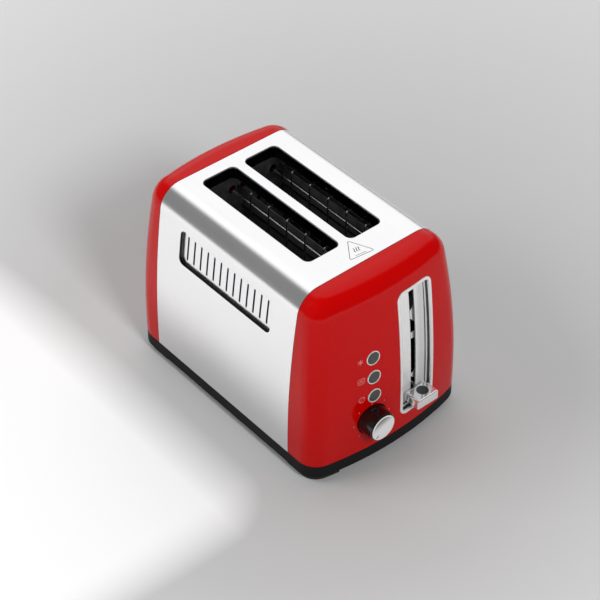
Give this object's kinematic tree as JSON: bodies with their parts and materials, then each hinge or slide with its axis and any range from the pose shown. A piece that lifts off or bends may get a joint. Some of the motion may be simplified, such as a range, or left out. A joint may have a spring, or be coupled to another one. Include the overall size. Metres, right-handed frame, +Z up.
{
  "type": "pop up toaster",
  "caption": "Pop-up toaster with twin long bread slots, steel wrap, gloss end caps, a push-down lever in a plated window, buttons, a browning dial and a crumb tray.",
  "frame": {"origin": "on the standing surface, under the middle of the overall box", "axes": "+X right as the front is looked at, +Y from the control end to the rear, +Z up"},
  "size_m": [0.1734, 0.2828, 0.1887],
  "materials": {
    "brushed_wrap": "brushed",
    "red_gloss": "high gloss",
    "base_plastic": "fine satin",
    "foot_rubber": "matt",
    "gland_rubber": "matt",
    "bright_plate": "polished",
    "panel_steel": "satin",
    "sheet_steel": "zinc plated",
    "dial_gloss": "gloss",
    "satin_silver": "satin",
    "switch_plastic": "moulded",
    "board_laminate": "laminate",
    "contact_brass": "drawn",
    "iron_core": "rolled",
    "coil_winding": "enamelled wire",
    "oven_steel": "aluminised",
    "reflector_steel": "bright rolled",
    "spring_steel": "drawn",
    "screw_steel": "zinc plated",
    "tray_steel": "rolled",
    "button_plastic": "satin",
    "mica": "flaky",
    "heater_alloy": "oxidised",
    "guard_wire": "plated wire"
  },
  "bodies": {
    "casing": {"steel_shell": "brushed_wrap", "front_cap": "red_gloss", "rear_cap": "red_gloss", "base": "base_plastic", "foot_front_left": "foot_rubber", "foot_front_right": "foot_rubber", "foot_rear_left": "foot_rubber", "foot_rear_right": "foot_rubber", "cord_gland": "gland_rubber", "lever_bezel": "bright_plate", "lever_panel": "panel_steel", "potentiometer": "switch_plastic", "control_board": "board_laminate", "button_switches": "switch_plastic", "contact_block": "switch_plastic", "contact_leaves": "contact_brass", "magnet_core": "iron_core", "magnet_coil": "coil_winding", "front_plate": "oven_steel", "rear_plate": "oven_steel", "reflector_left": "reflector_steel", "reflector_right": "reflector_steel", "guide_rod": "sheet_steel", "lift_spring": "spring_steel", "base_screws": "screw_steel", "plate_screws": "screw_steel", "board_screws": "screw_steel", "button_ring_lower": "bright_plate", "button_ring_middle": "bright_plate", "button_ring_upper": "bright_plate", "heater_card_left": "mica", "heater_ribbon_left": "heater_alloy", "heater_card_centre": "mica", "heater_ribbon_centre": "heater_alloy", "heater_card_right": "mica", "heater_ribbon_right": "heater_alloy"},
    "bread_carriage": {"carriage": "sheet_steel", "lifter_left": "oven_steel", "lifter_right": "oven_steel", "lever_arm": "sheet_steel", "lever_knob": "bright_plate", "armature": "iron_core"},
    "browning_dial": {"dial_body": "dial_gloss", "dial_cap": "satin_silver", "dial_shaft": "sheet_steel"},
    "tray": {"crumb_tray": "tray_steel", "tray_grip": "base_plastic"},
    "press_lower": {"button_lower": "button_plastic"},
    "press_middle": {"button_middle": "button_plastic"},
    "press_upper": {"button_upper": "button_plastic"},
    "rack_left_inner": {"guard_left_inner": "guard_wire"},
    "rack_left_outer": {"guard_left_outer": "guard_wire"},
    "rack_right_inner": {"guard_right_inner": "guard_wire"},
    "rack_right_outer": {"guard_right_outer": "guard_wire"}
  },
  "joints": [
    {"name": "carriage_lift", "type": "slide", "parent": "casing", "child": "bread_carriage", "axis": [0, 0, 1], "range_m": [0, 0.095], "deforming": ["lift_spring"]},
    {"name": "button_lower_press", "type": "slide", "parent": "casing", "child": "press_lower", "axis": [0.0743, 0.9958, -0.0536], "range_m": [0, 0.0015], "stiffness_N_per_m": 600, "springref_m": -0.001},
    {"name": "button_middle_press", "type": "slide", "parent": "casing", "child": "press_middle", "axis": [0.0745, 0.9943, -0.0764], "range_m": [0, 0.0015], "stiffness_N_per_m": 600, "springref_m": -0.001},
    {"name": "button_upper_press", "type": "slide", "parent": "casing", "child": "press_upper", "axis": [0.0747, 0.9923, -0.0992], "range_m": [0, 0.0015], "stiffness_N_per_m": 600, "springref_m": -0.001},
    {"name": "dial_turn", "type": "hinge", "parent": "casing", "child": "browning_dial", "pos_m": [-0.0268, -0.128, 0.0515], "axis": [0, 1, 0], "range_deg": [0, 270]},
    {"name": "tray_pull", "type": "slide", "parent": "casing", "child": "tray", "axis": [0, 1, 0], "range_m": [0, 0.165]},
    {"name": "guard_left_inner_open", "type": "hinge", "parent": "casing", "child": "rack_left_inner", "pos_m": [-0.0069, 0.015, 0.036], "axis": [0, 1, 0], "range_deg": [0, 1.05]},
    {"name": "guard_left_outer_open", "type": "hinge", "parent": "casing", "child": "rack_left_outer", "pos_m": [-0.0396, 0.015, 0.036], "axis": [0, 1, 0], "range_deg": [-1.05, 0]},
    {"name": "guard_right_inner_open", "type": "hinge", "parent": "casing", "child": "rack_right_inner", "pos_m": [0.0069, 0.015, 0.036], "axis": [0, 1, 0], "range_deg": [-1.05, 0]},
    {"name": "guard_right_outer_open", "type": "hinge", "parent": "casing", "child": "rack_right_outer", "pos_m": [0.0396, 0.015, 0.036], "axis": [0, 1, 0], "range_deg": [0, 1.05]}
  ],
  "couplings": [
    {"joint": "guard_left_inner_open", "follows": "carriage_lift", "rad_per_m": 0.18372},
    {"joint": "guard_left_outer_open", "follows": "carriage_lift", "rad_per_m": -0.18372},
    {"joint": "guard_right_inner_open", "follows": "carriage_lift", "rad_per_m": -0.18372},
    {"joint": "guard_right_outer_open", "follows": "carriage_lift", "rad_per_m": 0.18372}
  ]
}
